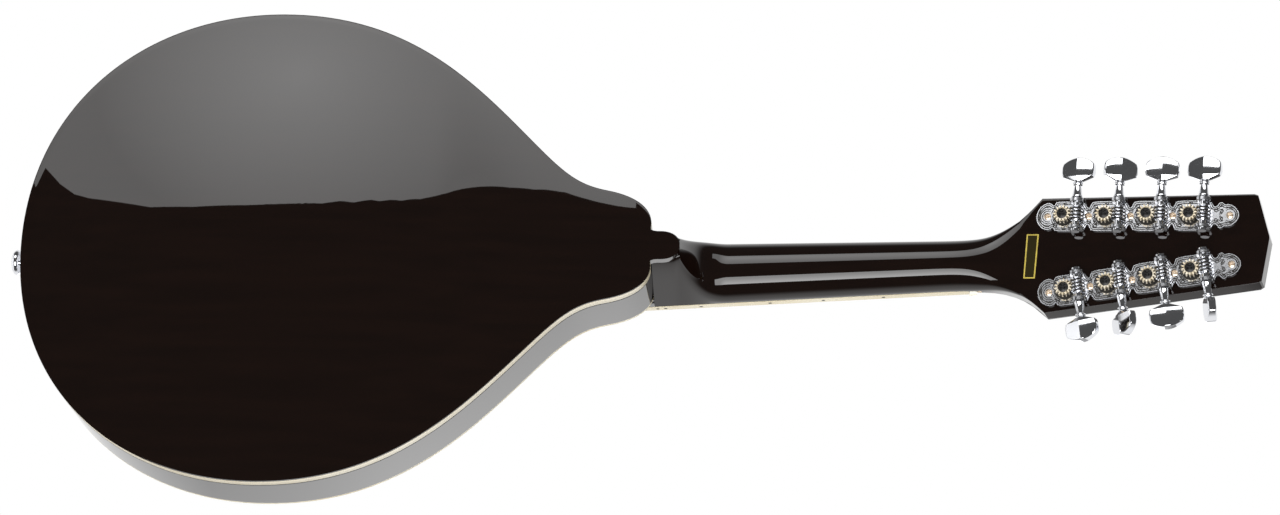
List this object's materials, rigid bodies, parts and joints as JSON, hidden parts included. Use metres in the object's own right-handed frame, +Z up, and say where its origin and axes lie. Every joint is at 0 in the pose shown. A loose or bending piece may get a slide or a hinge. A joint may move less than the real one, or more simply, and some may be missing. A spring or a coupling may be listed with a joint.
{
  "type": "electric mandolin",
  "caption": "Hollow teardrop electric mandolin: arched plates, f-holes, floating bridge, sliding tailpiece cover, pickup, controls and geared tuners, stored hanging upright.",
  "frame": {"origin": "the point in the middle of the headstock's thickness, on the centre line, where a wall hanger's two prongs carry the flare", "axes": "+Z up the neck to the headstock, +X to the treble side, -Y out of the top with its strings, +Y out of the back"},
  "size_m": [0.2789, 0.1088, 0.6973],
  "materials": {
    "dark_lacquer": "high gloss",
    "ivory_binding": "gloss",
    "chrome": "polished",
    "gear_nickel": "satin",
    "rosewood": "oiled",
    "bare_spruce": "bare",
    "black_plastic": "gloss",
    "bone": "satin",
    "string_steel": "drawn"
  },
  "bodies": {
    "instrument": {"back_plate": "dark_lacquer", "top_plate": "dark_lacquer", "rib_bass": "dark_lacquer", "rib_treble": "dark_lacquer", "back_binding": "ivory_binding", "top_binding": "ivory_binding", "back_lining": "bare_spruce", "top_lining": "bare_spruce", "neck_block": "bare_spruce", "tail_block": "bare_spruce", "tone_bar_bass": "bare_spruce", "tone_bar_treble": "bare_spruce", "neck": "dark_lacquer", "headstock_overlay": "black_plastic", "fingerboard": "rosewood", "fingerboard_binding": "ivory_binding", "nut": "bone", "truss_rod_cover": "black_plastic", "truss_rod": "chrome", "bridge_base": "rosewood", "tailpiece_base": "chrome", "end_pin": "chrome", "pickup": "chrome", "volume_pot": "chrome", "tone_pot": "chrome", "output_jack": "chrome", "jack_nut": "chrome", "wiring": "black_plastic", "tuner_plate_bass": "chrome", "tuner_plate_treble": "chrome", "string_1": "string_steel", "string_2": "string_steel", "string_3": "string_steel", "string_4": "string_steel", "string_5": "string_steel", "string_6": "string_steel", "string_7": "string_steel", "string_8": "string_steel"},
    "saddle": {"bridge_saddle": "rosewood"},
    "wheel_bass": {"thumbwheel_bass": "chrome"},
    "wheel_treble": {"thumbwheel_treble": "chrome"},
    "cover": {"tailpiece_cover": "chrome"},
    "volume": {"volume_knob": "black_plastic"},
    "tone": {"tone_knob": "black_plastic"},
    "key_bass_1": {"tuner_key_bass_1": "chrome"},
    "key_bass_2": {"tuner_key_bass_2": "chrome"},
    "key_bass_3": {"tuner_key_bass_3": "chrome"},
    "key_bass_4": {"tuner_key_bass_4": "chrome"},
    "key_treble_1": {"tuner_key_treble_1": "chrome"},
    "key_treble_2": {"tuner_key_treble_2": "chrome"},
    "key_treble_3": {"tuner_key_treble_3": "chrome"},
    "key_treble_4": {"tuner_key_treble_4": "chrome"},
    "post_bass_1": {"gear_post_bass_1": "gear_nickel"},
    "post_bass_2": {"gear_post_bass_2": "gear_nickel"},
    "post_bass_3": {"gear_post_bass_3": "gear_nickel"},
    "post_bass_4": {"gear_post_bass_4": "gear_nickel"},
    "post_treble_1": {"gear_post_treble_1": "gear_nickel"},
    "post_treble_2": {"gear_post_treble_2": "gear_nickel"},
    "post_treble_3": {"gear_post_treble_3": "gear_nickel"},
    "post_treble_4": {"gear_post_treble_4": "gear_nickel"}
  },
  "joints": [
    {"name": "key_turn_bass_1", "type": "hinge", "parent": "instrument", "child": "key_bass_1", "pos_m": [-0.02068, 0.0198, 0.03128], "axis": [-0.9968, 0.0208, 0.0778], "continuous": true},
    {"name": "key_turn_bass_2", "type": "hinge", "parent": "instrument", "child": "key_bass_2", "pos_m": [-0.01882, 0.02572, 0.05342], "axis": [-0.9968, 0.0208, 0.0778], "continuous": true},
    {"name": "key_turn_bass_3", "type": "hinge", "parent": "instrument", "child": "key_bass_3", "pos_m": [-0.01697, 0.03164, 0.07557], "axis": [-0.9968, 0.0208, 0.0778], "continuous": true},
    {"name": "key_turn_bass_4", "type": "hinge", "parent": "instrument", "child": "key_bass_4", "pos_m": [-0.01512, 0.03755, 0.09772], "axis": [-0.9968, 0.0208, 0.0778], "continuous": true},
    {"name": "key_turn_treble_1", "type": "hinge", "parent": "instrument", "child": "key_treble_1", "pos_m": [0.02068, 0.0198, 0.03128], "axis": [0.9968, 0.0208, 0.0778], "continuous": true},
    {"name": "key_turn_treble_2", "type": "hinge", "parent": "instrument", "child": "key_treble_2", "pos_m": [0.01882, 0.02572, 0.05342], "axis": [0.9968, 0.0208, 0.0778], "continuous": true},
    {"name": "key_turn_treble_3", "type": "hinge", "parent": "instrument", "child": "key_treble_3", "pos_m": [0.01697, 0.03164, 0.07557], "axis": [0.9968, 0.0208, 0.0778], "continuous": true},
    {"name": "key_turn_treble_4", "type": "hinge", "parent": "instrument", "child": "key_treble_4", "pos_m": [0.01512, 0.03755, 0.09772], "axis": [0.9968, 0.0208, 0.0778], "continuous": true},
    {"name": "post_turn_bass_1", "type": "hinge", "parent": "instrument", "child": "post_bass_1", "pos_m": [-0.0213, 0.01283, 0.02514], "axis": [0, 0.9661, -0.2581], "continuous": true},
    {"name": "post_turn_bass_2", "type": "hinge", "parent": "instrument", "child": "post_bass_2", "pos_m": [-0.01945, 0.01875, 0.04729], "axis": [0, 0.9661, -0.2581], "continuous": true},
    {"name": "post_turn_bass_3", "type": "hinge", "parent": "instrument", "child": "post_bass_3", "pos_m": [-0.01759, 0.02467, 0.06944], "axis": [0, 0.9661, -0.2581], "continuous": true},
    {"name": "post_turn_bass_4", "type": "hinge", "parent": "instrument", "child": "post_bass_4", "pos_m": [-0.01574, 0.03058, 0.09159], "axis": [0, 0.9661, -0.2581], "continuous": true},
    {"name": "post_turn_treble_1", "type": "hinge", "parent": "instrument", "child": "post_treble_1", "pos_m": [0.0213, 0.01283, 0.02514], "axis": [0, 0.9661, -0.2581], "continuous": true},
    {"name": "post_turn_treble_2", "type": "hinge", "parent": "instrument", "child": "post_treble_2", "pos_m": [0.01945, 0.01875, 0.04729], "axis": [0, 0.9661, -0.2581], "continuous": true},
    {"name": "post_turn_treble_3", "type": "hinge", "parent": "instrument", "child": "post_treble_3", "pos_m": [0.01759, 0.02467, 0.06944], "axis": [0, 0.9661, -0.2581], "continuous": true},
    {"name": "post_turn_treble_4", "type": "hinge", "parent": "instrument", "child": "post_treble_4", "pos_m": [0.01574, 0.03058, 0.09159], "axis": [0, 0.9661, -0.2581], "continuous": true},
    {"name": "volume_turn", "type": "hinge", "parent": "instrument", "child": "volume", "pos_m": [0.084, -0.03733, -0.45373], "axis": [0, -1, 0], "range_deg": [-150, 150]},
    {"name": "tone_turn", "type": "hinge", "parent": "instrument", "child": "tone", "pos_m": [0.058, -0.03733, -0.48773], "axis": [0, -1, 0], "range_deg": [-150, 150]},
    {"name": "saddle_lift", "type": "slide", "parent": "instrument", "child": "saddle", "axis": [0, -1, 0], "range_m": [-0.002, 0]},
    {"name": "wheel_turn_bass", "type": "hinge", "parent": "saddle", "child": "wheel_bass", "pos_m": [-0.027, -0.05733, -0.37793], "axis": [0, -1, 0], "range_deg": [-1028, 0]},
    {"name": "wheel_turn_treble", "type": "hinge", "parent": "saddle", "child": "wheel_treble", "pos_m": [0.027, -0.05733, -0.37793], "axis": [0, -1, 0], "range_deg": [-1030, 0]},
    {"name": "cover_slide", "type": "slide", "parent": "instrument", "child": "cover", "axis": [0, -0.1668, 0.986], "range_m": [0, 0.018]}
  ],
  "couplings": [
    {"joint": "post_turn_bass_1", "follows": "key_turn_bass_1", "ratio": 0.071429},
    {"joint": "post_turn_bass_2", "follows": "key_turn_bass_2", "ratio": 0.071429},
    {"joint": "post_turn_bass_3", "follows": "key_turn_bass_3", "ratio": 0.071429},
    {"joint": "post_turn_bass_4", "follows": "key_turn_bass_4", "ratio": 0.071429},
    {"joint": "post_turn_treble_1", "follows": "key_turn_treble_1", "ratio": -0.071429},
    {"joint": "post_turn_treble_2", "follows": "key_turn_treble_2", "ratio": -0.071429},
    {"joint": "post_turn_treble_3", "follows": "key_turn_treble_3", "ratio": -0.071429},
    {"joint": "post_turn_treble_4", "follows": "key_turn_treble_4", "ratio": -0.071429},
    {"joint": "saddle_lift", "follows": "wheel_turn_bass", "m_per_rad": 0.00011141},
    {"joint": "wheel_turn_treble", "follows": "wheel_turn_bass", "ratio": 1}
  ]
}
